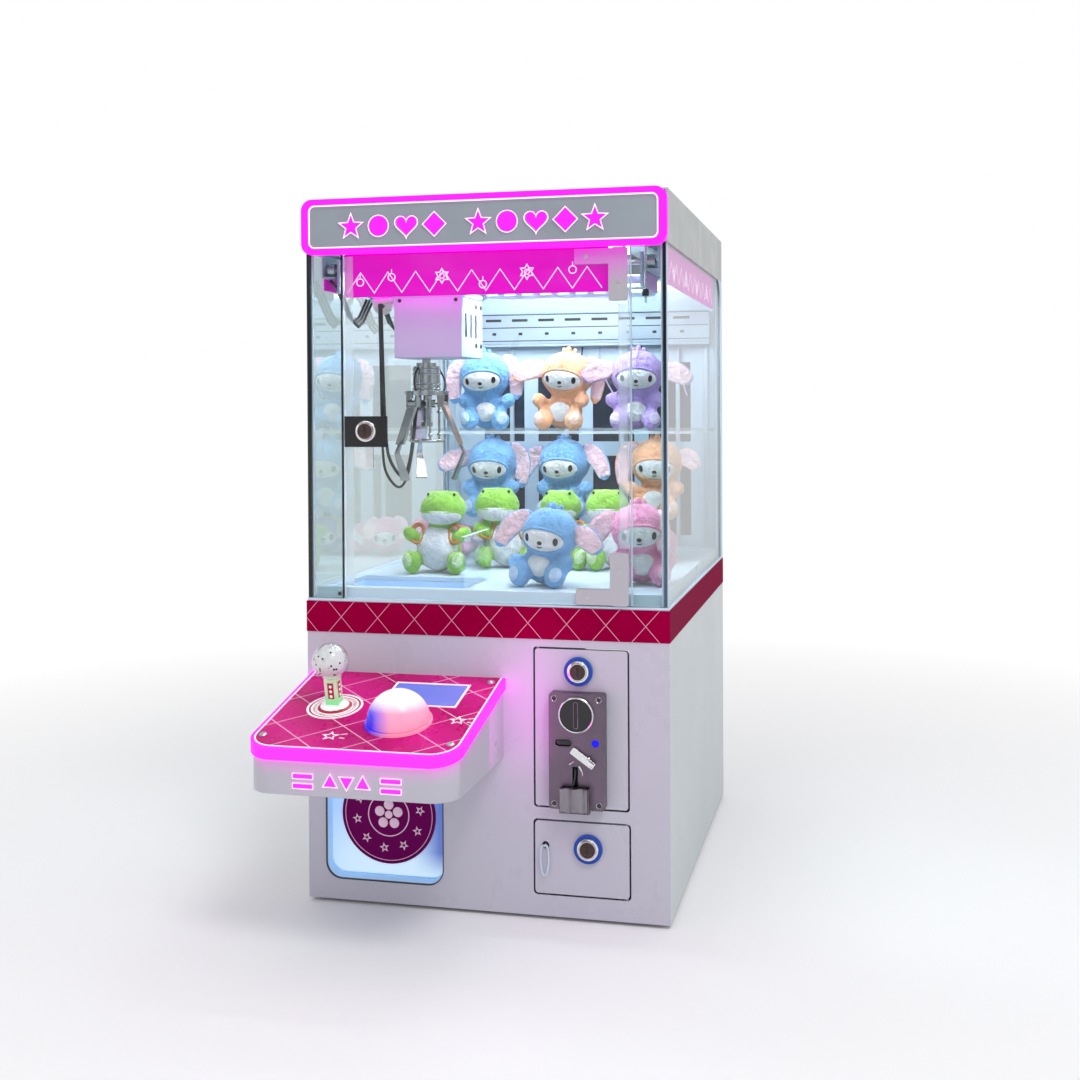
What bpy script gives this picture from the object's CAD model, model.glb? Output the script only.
"""Looks of the claw crane machine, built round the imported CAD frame. +Z up, the player is at -Y.

Places and sizes are in millimetres; Shape.make, mm() and the materials turn them into Blender's metres.
"""

import math
import random

import bmesh
import bpy
import numpy as np
from mathutils import Matrix, Vector


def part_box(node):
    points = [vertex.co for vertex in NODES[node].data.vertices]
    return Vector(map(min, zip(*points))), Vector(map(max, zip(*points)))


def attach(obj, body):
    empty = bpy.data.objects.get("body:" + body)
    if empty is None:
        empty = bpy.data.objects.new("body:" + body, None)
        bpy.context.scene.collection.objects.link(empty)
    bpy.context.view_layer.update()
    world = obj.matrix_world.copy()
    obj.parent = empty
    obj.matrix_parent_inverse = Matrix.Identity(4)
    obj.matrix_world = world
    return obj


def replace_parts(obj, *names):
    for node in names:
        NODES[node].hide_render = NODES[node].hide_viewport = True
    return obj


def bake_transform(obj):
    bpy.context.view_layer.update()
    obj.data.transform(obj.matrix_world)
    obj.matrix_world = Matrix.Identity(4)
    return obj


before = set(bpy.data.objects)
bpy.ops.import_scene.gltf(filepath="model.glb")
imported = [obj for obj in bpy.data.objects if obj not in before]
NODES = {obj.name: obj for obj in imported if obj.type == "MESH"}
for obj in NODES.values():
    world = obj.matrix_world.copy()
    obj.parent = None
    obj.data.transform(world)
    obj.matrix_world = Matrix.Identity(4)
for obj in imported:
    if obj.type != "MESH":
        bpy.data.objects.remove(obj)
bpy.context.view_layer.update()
MM = 0.001

# Places that the CAD fixes
FRONT = -260
DESK_Z = 262
DESK_TILT = math.radians(12.56)
DESK_X = (-200, 23)
DESK_MID = sum(DESK_X) / 2
DESK_OUT = 184
RIM_H = 12
STICK = (-140, -89)
SCREEN = (-50, -50.5)
CLAW = (-90, -184)
COIN_LOCK = (109.5, 273)
CASH_LOCK = (119.5, 78)
GLASS_LOCK = (-136, 537)
DIAL = (109.5, 228)
PRIZE = (-118.25, 96)
PRIZE_DISC = 56.8
GLASS_Z = (346, 741.5)

# Ways that turned parts face
TO_PLAYER = (0, -1, 0)
TO_BACK = (0, 1, 0)
TO_RIGHT = (1, 0, 0)
UP = (0, 0, 1)

WHITE = (0.56, 0.545, 0.63)
SIDE_WHITE = (0.60, 0.64, 0.66)
ICE = (0.60, 0.72, 0.83)
MAGENTA = (0.9, 0.02, 0.66)
PALE_PINK = (0.98, 0.72, 0.9)
MAROON = (0.31, 0.0, 0.042)
COOL_LIGHT = (0.88, 0.95, 1.0)


def mm(*values):
    """A point in metres from millimetres."""
    return tuple(v * MM for v in values)


def turn_angles(count, start=0.0, sweep=2 * math.pi):
    """Evenly spaced angles; a full turn leaves out its last one, which is its first one."""
    return [start + sweep * k / count for k in range(count)]


# ---------------------------------------------------------------- materials


class Graph:
    """One node material, written as calls that return sockets. Lengths inside it are metres."""

    def __init__(self, name):
        self.material = bpy.data.materials.new(name)
        self.material.use_nodes = True
        self.tree = self.material.node_tree
        self.tree.nodes.clear()
        self.at = self.add("TexCoord").outputs["Object"]

    def add(self, kind, inputs=None, **props):
        node = self.tree.nodes.new("ShaderNode" + kind)
        for key, value in props.items():
            setattr(node, key, value)
        for key, value in (inputs or {}).items():
            socket = node.inputs[key]
            if isinstance(value, bpy.types.NodeSocket):
                self.tree.links.new(value, socket)
            elif socket.type == "RGBA" and len(value) == 3:
                socket.default_value = (*value, 1.0)
            else:
                socket.default_value = value
        return node

    def math(self, operation, a, b=0.0, c=0.0):
        return self.add("Math", {0: a, 1: b, 2: c}, operation=operation).outputs[0]

    def axes(self):
        return self.add("SeparateXYZ", {0: self.at}).outputs

    def noise(self, scale, detail=3.0, stretch=(1, 1, 1)):
        moved = self.add("Mapping", {"Vector": self.at, "Scale": stretch}).outputs[0]
        values = {"Vector": moved, "Scale": scale, "Detail": detail, "Roughness": 0.55}
        return self.add("TexNoise", values).outputs["Fac"]

    def spread(self, value, low, high, start=0.3, end=0.7):
        values = {"Value": value, "From Min": start, "From Max": end, "To Min": low, "To Max": high}
        return self.add("MapRange", values).outputs[0]

    def mix(self, amount, a, b):
        return self.add("MixRGB", {"Fac": amount, "Color1": a, "Color2": b}).outputs[0]

    def both(self, a, b):
        return self.math("MULTIPLY", a, b)

    def below(self, value, limit):
        return self.math("LESS_THAN", value, limit)

    def above(self, value, limit):
        return self.math("GREATER_THAN", value, limit)

    def lattice(self, u, v, pitch, width):
        """1 on thin lines that cross at the given pitch, 0 between them."""
        lines = []
        for way in ("ADD", "SUBTRACT"):
            ramp = self.math("PINGPONG", self.math(way, u, v), pitch / 2)
            lines.append(self.below(ramp, width))
        return self.math("MAXIMUM", *lines)

    def disc(self, centre, radius, y_below):
        """1 inside a circle seen along Y, where the part stands further out than y_below; in millimetres."""
        x, y, z = self.axes()
        du = self.math("SUBTRACT", x, centre[0] * MM)
        dv = self.math("SUBTRACT", z, centre[1] * MM)
        squares = self.math("ADD", self.math("POWER", du, 2.0), self.math("POWER", dv, 2.0))
        inside = self.below(self.math("SQRT", squares), radius * MM)
        return self.both(inside, self.below(y, y_below * MM))

    def facing(self, axis):
        """1 on faces that look along the given axis of the object."""
        normal = self.add("TexCoord").outputs["Normal"]
        value = self.add("SeparateXYZ", {0: normal}).outputs[axis]
        return self.above(self.math("ABSOLUTE", value), 0.5)

    def slant(self, power):
        """0 where the surface faces the eye, rising to 1 at its outline."""
        facing = self.add("LayerWeight", {"Blend": 0.5}).outputs["Facing"]
        return self.math("POWER", facing, power)

    def bump(self, distance, height, strength=1.0, **under):
        values = {"Strength": strength, "Distance": distance * MM, "Height": height}
        return self.add("Bump", {**values, **under}).outputs[0]

    def principled(self, values):
        return self.finish(self.add("BsdfPrincipled", values).outputs[0])

    def finish(self, shader):
        self.add("OutputMaterial", {"Surface": shader})
        return self.material


def vary(g, colour, amount, scale):
    """A colour that drifts a little darker and lighter over the surface."""
    dark = tuple(c * (1 - amount) for c in colour)
    light = tuple(min(1, c * (1 + amount * 0.6)) for c in colour)
    return g.mix(g.spread(g.noise(scale, 4.0), 0.0, 1.0), dark, light)


def surface(name, colour, rough=0.4, metal=0.0, drift=0.06, drift_scale=7.0, grain=0.0, grain_scale=600.0,
            stretch=(1, 1, 1), edge=0.0, wear=0.0, paint=None, glow=0.0, glow_colour=None, shine=None,
            coat=0.0):
    """A Principled surface with colour drift, uneven gloss, fine bump, softened edges and edge wear.

    grain is the bump's depth and edge the rounding, in millimetres; shine is the specular level.
    """
    g = Graph(name)
    base = vary(g, colour, drift, drift_scale)
    if paint:
        base = paint(g, base)
    values = {"Metallic": metal, "Coat Weight": coat}
    gloss = g.noise(drift_scale * 4, 5.0, stretch)
    values["Roughness"] = g.spread(gloss, rough * 0.8, min(1.0, rough * 1.25 + 0.02))
    normal = None
    if edge:
        normal = g.add("Bevel", {"Radius": edge * MM}, samples=4).outputs[0]
    if wear:
        flat = g.add("NewGeometry").outputs["Normal"]
        turn = g.add("VectorMath", {0: normal, 1: flat}, operation="DOT_PRODUCT").outputs["Value"]
        near_edge = g.spread(turn, 1.0, 0.0, 0.86, 0.985)
        worn = g.both(near_edge, g.spread(g.noise(90.0, 5.0), 0.0, wear, 0.42, 0.62))
        base = g.mix(worn, base, tuple(min(1, 0.35 + c * 0.6) for c in colour))
    values["Base Color"] = base
    if grain:
        under = {"Normal": normal} if normal else {}
        normal = g.bump(grain, g.noise(grain_scale, 3.0, stretch), **under)
    if normal:
        values["Normal"] = normal
    if glow:
        values["Emission Color"] = glow_colour if glow_colour else base
        values["Emission Strength"] = glow
    if shine is not None:
        values["Specular IOR Level"] = shine
    return g.principled(values)


def clear(name, tint, edge_axis=2, milk_mask=None, haze=0.02, edge_haze=0.55):
    """Clear sheet: see-through with a mirror coat, faint smears, and milky cut edges."""
    g = Graph(name)
    smear = g.noise(11.0, 6.0, (1, 1, 2.5))
    mirror = g.math("MINIMUM", g.math("MULTIPLY_ADD", g.slant(2.6), 0.9, 0.045), 0.42)
    outer = g.math("SUBTRACT", 1.0, g.add("NewGeometry").outputs["Backfacing"])
    through = g.add("BsdfTransparent", {"Color": tint}).outputs[0]
    rough = g.spread(smear, 0.015, 0.045)
    coat = g.add("BsdfGlossy", {"Color": (1, 1, 1), "Roughness": rough}).outputs[0]
    body = g.add("MixShader", {0: g.both(mirror, outer), 1: through, 2: coat}).outputs[0]
    dust = g.add("BsdfDiffuse", {"Color": (0.75, 0.86, 0.92)}).outputs[0]
    cut = g.math("MULTIPLY", g.facing(edge_axis), edge_haze)
    if milk_mask:
        cut = g.math("MAXIMUM", cut, milk_mask(g))
    amount = g.math("MAXIMUM", cut, g.spread(smear, 0.0, haze, 0.5, 0.8))
    return g.finish(g.add("MixShader", {0: amount, 1: body, 2: dust}).outputs[0])


def paler(colour, amount):
    """The colour moved towards white by the given amount."""
    return tuple(amount + (1 - amount) * c for c in colour)


def fleece(name, colour):
    """Short pile: soft colour drift, a pale sheen and a fine nap."""
    g = Graph(name)
    pile = g.noise(1500.0, 2.0)
    dark = tuple(c * 0.74 for c in colour)
    light = tuple(min(1, c * 1.10) for c in colour)
    base = g.mix(g.spread(g.noise(60.0, 5.0), 0.0, 1.0), dark, light)
    base = g.mix(g.spread(pile, 0.0, 0.3), base, paler(colour, 0.3))
    base = g.mix(g.math("MULTIPLY", g.slant(3.0), 0.5), base, paler(colour, 0.45))
    tufts = g.bump(1.2, pile, 0.9)
    return g.principled({
        "Base Color": base, "Roughness": 0.95, "Specular IOR Level": 0.1, "Sheen Weight": 0.25,
        "Sheen Roughness": 0.45, "Sheen Tint": paler(colour, 0.5),
        "Normal": g.bump(6, g.noise(140.0, 3.0), 0.8, Normal=tufts)})


def lock_paint(centre):
    """A blue ring round a lock on a steel door."""
    return lambda g, base: g.mix(g.disc(centre, 16.3, FRONT - 0.4), base, (0.01, 0.07, 0.42))


def belt_paint(g, base):
    """Thin pale diamonds on the front of the belt; the sides stay plain."""
    x, y, z = g.axes()
    u = g.math("MULTIPLY", g.math("SUBTRACT", x, -0.1683), 1.13)
    v = g.math("SUBTRACT", z, 0.3245)
    front = g.below(y, (FRONT + 0.1) * MM)
    base = g.mix(front, (0.25, 0.025, 0.065), base)
    return g.mix(g.both(g.lattice(u, v, 0.0498, 0.0006), front), base, (0.70, 0.30, 0.42))


def desk_paint(g, base):
    """Skewed pale lines over the printed desk top, with darker and brighter diamonds between them."""
    x, y, _ = g.axes()
    pitch = 0.062
    u = g.math("MULTIPLY", g.math("SUBTRACT", x, -0.113), 0.82)
    v = g.math("ADD", y, 0.330)
    tile = g.math("PINGPONG", g.math("ADD", u, v), pitch)
    shade = g.mix(g.spread(tile, 0.0, 0.8, 0.0, pitch), base, (0.46, 0.002, 0.12))
    sideways = g.math("ABSOLUTE", g.math("SUBTRACT", x, DESK_MID * MM))
    inside = g.both(g.above(y, -0.4415), g.below(sideways, 0.1095))
    return g.mix(g.both(g.lattice(u, v, pitch, 0.00075), inside), shade, (0.95, 0.55, 0.75))


def housing_paint(g, base):
    """The lit rim tints the housing just below it."""
    _, y, z = g.axes()
    top = g.math("MULTIPLY_ADD", g.math("ADD", y, -FRONT * MM), math.tan(DESK_TILT), DESK_Z * MM)
    under = g.math("SUBTRACT", top, z)
    return g.mix(g.spread(under, 0.5, 0.0, RIM_H * MM, 0.030), base, (0.95, 0.25, 0.85))


def seal_paint(g, base):
    """The right-hand corner seal is black at the top and slate blue at the bottom."""
    return g.mix(g.spread(g.axes()[2], 1.0, 0.0, 0.38, 0.64), base, (0.10, 0.15, 0.22))


def patch_paint(g, base):
    """The upper patch plate takes the magenta of the lit header."""
    x, _, z = g.axes()
    height = g.math("SUBTRACT", z, g.math("MULTIPLY", x, 0.2))
    return g.mix(g.spread(height, 0.0, 0.9, 0.664, 0.712), base, (0.95, 0.06, 0.85))


def flap_disc(g):
    return g.disc(PRIZE, PRIZE_DISC, FRONT + 16.4)


def flap_paint(g, base):
    """The pale flap is brighter at its lower edge, shaded at the lower right, and has a dark magenta disc."""
    x, _, z = g.axes()
    lit = g.mix(g.spread(z, 1.0, 0.0, 0.03, 0.13), base, (0.66, 0.84, 0.96))
    shade = g.both(g.spread(x, 0.0, 1.0, -0.090, -0.058), g.spread(z, 0.0, 1.0, 0.028, 0.055))
    lit = g.mix(g.math("MULTIPLY", shade, 0.85), lit, (0.07, 0.12, 0.48))
    return g.mix(flap_disc(g), lit, (0.15, 0.0, 0.09))


def screen_paint(g, base):
    """The screen is a little brighter at its right."""
    x = g.axes()[0]
    return g.mix(g.spread(x, 0.0, 1.0, -0.09, -0.013), (0.10, 0.16, 0.62), (0.18, 0.19, 0.62))


def stick_paint(g, base):
    """Green light gathers in the foot of the stick."""
    return g.mix(g.spread(g.axes()[2], 0.9, 0.0, 0.248, 0.262), base, (0.10, 0.80, 0.25))


def dome_tone(g):
    """A lit dome: white on top, a blue spot low at the player's left, pink elsewhere."""
    high = g.spread(g.axes()[2], 0.0, 1.0, 0.251, 0.262)
    spot = g.add("CombineXYZ", {0: -0.0815, 1: -0.3985, 2: 0.240}).outputs[0]
    far = g.add("VectorMath", {0: g.at, 1: spot}, operation="DISTANCE").outputs["Value"]
    low = g.mix(g.spread(far, 1.0, 0.0, 0.009, 0.031), (0.92, 0.36, 0.52), (0.04, 0.05, 0.92))
    return g.mix(high, low, (0.90, 0.88, 0.93))


def cover_paint(g, base):
    """The trolley's cover is lilac where it faces the player."""
    return g.mix(g.facing(1), base, (0.60, 0.44, 0.72))


def lit_panel(name, tone_of, rough, rough_scale, glow_of, shine, grain, grain_scale):
    """A panel that glows in its own colours."""
    g = Graph(name)
    tone = tone_of(g)
    gloss = g.spread(g.noise(rough_scale), *rough)
    return g.principled({
        "Base Color": tone, "Roughness": gloss, "Emission Color": tone, "Emission Strength": glow_of(g),
        "Specular IOR Level": shine, "Normal": g.bump(grain, g.noise(grain_scale))})


def make_materials():
    """Every material by a short name."""
    m = {}

    def add(key, name, *args, **look):
        m[key] = surface(name, *args, **look)

    steel = dict(rough=0.3, drift=0.02, grain=0.012, grain_scale=420.0, edge=0.7, wear=0.22, shine=0.3)
    brushed = dict(grain=0.08, grain_scale=600.0, stretch=(1, 1, 0.06))
    add("white", "white_steel", WHITE, **steel)
    add("side", "side_steel", SIDE_WHITE, 0.42, drift=0.02, drift_scale=2.0, edge=0.7, shine=0.12)
    add("coin_door", "white_steel_coin_door", WHITE, paint=lock_paint(COIN_LOCK), **steel)
    add("cash_door", "white_steel_cash_door", WHITE, paint=lock_paint(CASH_LOCK), **steel)
    add("pan", "pan_steel", (0.5, 0.5, 0.53), 0.45, grain=0.1, edge=0.6, wear=0.6)
    add("foot", "rubber_foot", (0.02, 0.02, 0.022), 0.75, grain=0.3, grain_scale=300.0)
    add("belt", "belt_film", MAROON, 0.4, drift=0.12, paint=belt_paint, grain=0.03, shine=0.0)
    add("plastic", "white_plastic", ICE, 0.33, drift=0.04, grain=0.06, edge=0.8)
    add("chute", "chute_plastic", (0.48, 0.68, 0.90), 0.4, drift=0.1, grain=0.1, edge=0.8, glow=0.15)
    add("housing", "desk_plastic", (0.53, 0.52, 0.59), 0.34, drift=0.04, grain=0.05, edge=0.8,
        paint=housing_paint)
    add("cover", "trolley_plastic", (0.39, 0.51, 0.66), 0.34, drift=0.04, grain=0.06, edge=0.9,
        paint=cover_paint)
    add("wall", "rear_paint", (0.56, 0.70, 0.82), 0.38, drift=0.08, grain=0.08, edge=0.6)
    add("header", "header_paint", (0.44, 0.46, 0.46), 0.36, drift=0.05, grain=0.08, edge=0.8, wear=0.4)
    add("grey", "header_grey", (0.31, 0.35, 0.39), 0.45, drift=0.10, drift_scale=10.0, grain=0.03,
        grain_scale=900.0, shine=0.06)
    add("light", "magenta_light", MAGENTA, 0.35, drift=0.05, glow=0.75, glow_colour=(1.0, 0.01, 0.85, 1),
        grain=0.05, shine=0.06)
    add("rim", "rim_light", MAGENTA, 0.3, drift=0.05, glow=2.3, glow_colour=(1.0, 0.015, 0.85, 1), grain=0.05,
        shine=0.06)
    add("line", "pale_line", PALE_PINK, 0.4, drift=0.1, glow=0.55, glow_colour=(1.0, 0.75, 0.95, 1))
    add("white_line", "white_line", (0.95, 0.9, 0.95), 0.35, glow=0.25, glow_colour=(1, 1, 1, 1))
    add("valance", "valance_print", (0.72, 0.0, 0.46), 0.35, drift=0.16, glow=0.3,
        glow_colour=(0.9, 0.0, 0.75, 1), grain=0.03, shine=0.06)
    add("diffuser", "light_diffuser", (1, 1, 1), 0.5, drift=0.02, glow=3.0, glow_colour=(0.9, 0.96, 1, 1))
    add("gantry", "gantry_paint", (0.46, 0.56, 0.66), 0.34, grain=0.1, edge=0.6, wear=0.6)
    add("desk", "desk_print", (0.72, 0.006, 0.26), 0.26, drift=0.05, drift_scale=9.0, paint=desk_paint,
        grain=0.02, shine=0.08)
    add("screen", "screen_glass", (0.14, 0.18, 0.62), 0.14, paint=screen_paint, glow=0.28,
        glow_colour=(0.16, 0.22, 0.95, 1), shine=0.35)
    add("dark", "dark_plastic", (0.03, 0.03, 0.033), 0.45, drift=0.25, grain=0.12, edge=0.5)
    add("black", "black_gloss", (0.012, 0.012, 0.014), 0.16, drift=0.3, grain=0.04, edge=0.5)
    add("seal", "corner_seal", (0.012, 0.016, 0.03), 0.3, drift=0.1, paint=seal_paint, grain=0.04, shine=0.06)
    add("steel", "bright_steel", (0.62, 0.62, 0.64), 0.28, 1.0, drift=0.08, grain=0.06, grain_scale=500.0,
        stretch=(1, 1, 14), edge=0.5, wear=0.5)
    add("patch", "patch_plate", (0.50, 0.49, 0.54), 0.36, 0.35, drift=0.05, grain=0.05, edge=0.6,
        paint=patch_paint)
    add("board", "circuit_board", (0.01, 0.16, 0.07), 0.35, drift=0.3, drift_scale=120.0, grain=0.2,
        grain_scale=900.0)
    add("acceptor", "acceptor_steel", (0.17, 0.13, 0.175), 0.34, 0.85, drift=0.12, drift_scale=25.0, edge=1.1,
        wear=0.7, **brushed)
    add("cup", "cup_steel", (0.28, 0.26, 0.29), 0.28, 0.9, drift=0.2, drift_scale=30.0, edge=0.6, **brushed)
    add("chrome", "chrome", (0.78, 0.78, 0.8), 0.09, 1.0, drift=0.08, drift_scale=40.0, grain=0.05, edge=0.4)
    add("claw", "claw_metal", (0.40, 0.41, 0.43), 0.16, 1.0, drift=0.15, drift_scale=60.0, grain=0.06,
        edge=0.5, wear=0.5)
    add("core", "lock_core", (0.085, 0.055, 0.05), 0.3, 0.8, drift=0.3, drift_scale=300.0, grain=0.2)
    add("motor", "motor_paint", (0.1, 0.1, 0.11), 0.4, 0.5, drift=0.2, grain=0.1, edge=0.5)
    add("stick", "stick_lit", (0.72, 0.9, 0.66), 0.18, paint=stick_paint, drift=0.15, drift_scale=90.0,
        glow=0.18, glow_colour=(0.6, 1.0, 0.5, 1), grain=0.08, coat=0.5)
    add("window", "dark_window", (0.035, 0.045, 0.07), 0.14, drift=0.5, drift_scale=18.0, grain=0.08)
    add("cord", "cord_braid", (0.08, 0.08, 0.09), 0.7, drift=0.4, drift_scale=600.0, grain=0.3,
        grain_scale=1800.0)
    add("cable", "cable_rubber", (0.018, 0.018, 0.02), 0.4, drift=0.3, grain=0.2)
    add("blue_lamp", "blue_lamp", (0.01, 0.01, 0.5), 0.3, drift=0.2, drift_scale=300.0, glow=1.0,
        glow_colour=(0.01, 0.01, 1.0, 1), shine=0.06)
    add("red", "red_print", (0.5, 0.01, 0.04), 0.3, drift=0.1, grain=0.03)
    add("pearl", "pearl_white", (0.80, 0.79, 0.79), 0.35, drift=0.08, drift_scale=200.0, grain=0.2)
    add("star", "pale_print", (0.95, 0.66, 0.82), 0.35, drift=0.08)
    add("strap", "strap_webbing", (0.55, 0.21, 0.04), 0.7, drift=0.2, drift_scale=200.0, grain=0.3,
        grain_scale=1500.0)
    add("eye", "eye_bead", (0.01, 0.008, 0.008), 0.12, drift=0.3, drift_scale=400.0, grain=0.02)
    m["flap"] = lit_panel(
        "flap_panel", lambda g: flap_paint(g, vary(g, (0.34, 0.56, 0.92), 0.08, 20.0)), (0.3, 0.42), 30.0,
        lambda g: g.math("SUBTRACT", 0.45, g.math("MULTIPLY", flap_disc(g), 0.42)), 0.04, 0.1, 300.0)
    m["dome"] = lit_panel("button_opal", dome_tone, (0.16, 0.26), 60.0, lambda g: 0.28, 0.4, 0.06, 500.0)
    m["glass"] = clear("clear_glass", (0.85, 0.90, 0.90))
    seal = lambda g: g.math("MULTIPLY", g.above(g.axes()[1], -0.25495), 0.32)
    m["door_glass"] = clear("door_glass", (0.965, 0.985, 0.985), edge_axis=0, milk_mask=seal)
    m["acrylic"] = clear("clear_acrylic", (0.95, 0.98, 1.0), edge_axis=1, haze=0.05)
    m["guard"] = clear("guard_acrylic", (0.93, 0.98, 1.0), haze=0.05, edge_haze=0.8)
    m["globe"] = clear("clear_globe", (0.95, 0.97, 0.97), edge_haze=0.0, haze=0.06)
    for key, colour in PILE.items():
        m[key] = fleece("fleece_" + key, colour)
        m[key + "_pale"] = fleece("fleece_" + key + "_pale", paler(colour, 0.35))
    return m


# ---------------------------------------------------------------- shapes


class Shape:
    """Gathers the faces of several forms, each with a material index, into one mesh object."""

    def __init__(self):
        self.verts, self.faces, self.slots = [], [], []

    def add(self, verts, faces, slot=0, matrix=None):
        base = len(self.verts)
        self.verts += [tuple(matrix @ Vector(v) if matrix else v) for v in verts]
        self.faces += [tuple(i + base for i in f) for f in faces]
        self.slots += [slot] * len(faces)

    def rings(self, rings, slot=0, loop=False):
        """Skins a row of equal rings of points; slot may be a function of ring and point number."""
        slot_of = slot if callable(slot) else lambda i, j: slot
        n, rows, base = len(rings[0]), len(rings), len(self.verts)
        self.verts += [tuple(p) for ring in rings for p in ring]
        for i in range(rows if loop else rows - 1):
            for j in range(n):
                a, b = base + i * n, base + (i + 1) % rows * n
                self.faces.append((a + j, a + (j + 1) % n, b + (j + 1) % n, b + j))
                self.slots.append(slot_of(i, j))
        if not loop:
            last = base + (rows - 1) * n
            self.faces += [tuple(base + n - 1 - j for j in range(n)), tuple(last + j for j in range(n))]
            self.slots += [slot_of(0, 0)] * 2

    def tube(self, path, radius, slot=0, sides=12, loop=False, flat=1.0):
        """A round or flattened rod along a path of points; radius may be one number or one per point."""
        path = [Vector(p) for p in path]
        count = len(path)
        radii = radius if isinstance(radius, list) else [radius] * count
        rings, up = [], None
        for i, p in enumerate(path):
            after = path[(i + 1) % count] if loop or i < count - 1 else p
            before = path[i - 1] if loop or i > 0 else p
            way = (after - before).normalized()
            up = up or way.orthogonal().normalized()
            up = (up - way * up.dot(way)).normalized()
            side = way.cross(up)
            rings.append([p + radii[i] * (math.cos(a) * up + flat * math.sin(a) * side)
                          for a in turn_angles(sides)])
        self.rings(rings, slot, loop=loop)

    def lathe(self, profile, at, axis=UP, slot=0, sides=48):
        """A closed turned form from (radius, height) pairs, along an axis from a point."""
        way = Vector(axis).normalized()
        side = way.orthogonal().normalized()
        other = way.cross(side)
        spokes = [math.cos(a) * side + math.sin(a) * other for a in turn_angles(sides)]
        rings = []
        for r, h in profile:
            rings.append([Vector(at) + way * h + max(r, 0.001) * spoke for spoke in spokes])
        self.rings(rings, slot)

    def box(self, lo, hi, soft=0.4, slot=0):
        """A block with rounded edges."""
        bm = bmesh.new()
        bmesh.ops.create_cube(bm, size=1.0)
        lo, hi = Vector(lo), Vector(hi)
        bmesh.ops.scale(bm, vec=hi - lo, verts=bm.verts)
        bmesh.ops.translate(bm, vec=(hi + lo) / 2, verts=bm.verts)
        bmesh.ops.bevel(bm, geom=bm.edges[:], offset=soft, segments=2, profile=0.5, affect="EDGES")
        bm.verts.index_update()
        self.add([v.co.copy() for v in bm.verts], [[v.index for v in f.verts] for f in bm.faces], slot)
        bm.free()

    def ribbon(self, line, width, depth, closed=False):
        """A flat raised line along (x, z) points, standing out from y = depth[0] to depth[1]."""
        n = len(line)
        rings = []
        for i, p in enumerate(line):
            a = Vector(line[(i + 1) % n] if closed or i < n - 1 else p)
            b = Vector(line[i - 1] if closed or i > 0 else p)
            p = Vector(p)
            d1 = (a - p).normalized() if (a - p).length > 0 else (p - b).normalized()
            d0 = (p - b).normalized() if (p - b).length > 0 else d1
            normal = Vector((-(d0 + d1).y, (d0 + d1).x)).normalized()
            reach = width / 2 / max(0.35, abs(normal.dot(Vector((-d1.y, d1.x)))))
            ring = []
            for point, ends in ((p + normal * reach, depth), (p - normal * reach, depth[::-1])):
                ring += [(point.x, y, point.y) for y in ends]
            rings.append(ring)
        self.rings(rings, loop=closed)

    def make(self, name, body, mats, slot=None, matrix=None, angle=38):
        """Turns the gathered faces into an object that rides on a CAD body."""
        mesh = bpy.data.meshes.new(name)
        mesh.from_pydata([mm(*v) for v in self.verts], [], self.faces)
        for mat in mats:
            mesh.materials.append(mat)
        mesh.polygons.foreach_set("material_index", self.slots)
        bm = bmesh.new()
        bm.from_mesh(mesh)
        bmesh.ops.remove_doubles(bm, verts=bm.verts, dist=0.001 * MM)
        bmesh.ops.recalc_face_normals(bm, faces=bm.faces)
        bm.to_mesh(mesh)
        bm.free()
        if matrix:
            mesh.transform(matrix)
        mesh.shade_smooth()
        mesh.set_sharp_from_angle(angle=math.radians(angle))
        obj = bpy.data.objects.new(name, mesh)
        bpy.context.scene.collection.objects.link(obj)
        if body:
            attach(obj, body)
        return obj


def around(centre, radius, angles):
    """Points on a circle in a plane."""
    return [(centre[0] + radius * math.cos(a), centre[1] + radius * math.sin(a)) for a in angles]


def circle_points(centre, radius, count):
    return around(centre, radius, turn_angles(count))


def star_points(centre, outer, inner, tips=5, turn=math.pi / 2):
    points = []
    for k, a in enumerate(turn_angles(tips * 2, turn)):
        points += around(centre, inner if k % 2 else outer, [a])
    return points


def heart_points(centre, size):
    points = []
    for a in turn_angles(48):
        x = 16 * math.sin(a) ** 3
        z = 13 * math.cos(a) - 5 * math.cos(2 * a) - 2 * math.cos(3 * a) - math.cos(4 * a)
        points.append((centre[0] + size * x / 16.5, centre[1] + size * (z / 16.5 - 0.02)))
    return points


def round_rect_points(centre, size, radius, arc=8):
    points = []
    for k, (sx, sz) in enumerate(((1, 1), (-1, 1), (-1, -1), (1, -1))):
        corner = (centre[0] + sx * (size[0] / 2 - radius), centre[1] + sz * (size[1] / 2 - radius))
        points += around(corner, radius, [math.pi / 2 * (k + i / arc) for i in range(arc + 1)])
    return points


def corner_points(centre, half_x, half_z, ways=((1, 1), (-1, 1), (-1, -1), (1, -1))):
    """The corners of a rectangle, or of another form whose corners lie in the given ways from the centre."""
    return [(centre[0] + dx * half_x, centre[1] + dz * half_z) for dx, dz in ways]


def soften(name, width):
    """Rounds the sharp edges of a CAD node with modifiers; its own mesh stays as packed."""
    obj = NODES[name]
    weld = obj.modifiers.new("join", "WELD")
    weld.merge_threshold = 0.001 * MM
    bevel = obj.modifiers.new("edges", "BEVEL")
    bevel.width, bevel.segments = width * MM, 2
    bevel.limit_method, bevel.angle_limit = "ANGLE", math.radians(40)
    bevel.use_clamp_overlap = True


# The desk's own frame: x, distance along the slope from its rear edge, height above the top
DESK = Matrix.Translation(mm(0, FRONT, DESK_Z)) @ Matrix.Rotation(DESK_TILT, 4, "X")
SLOPE = 1 / math.cos(DESK_TILT)


# ---------------------------------------------------------------- CAD nodes


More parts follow.
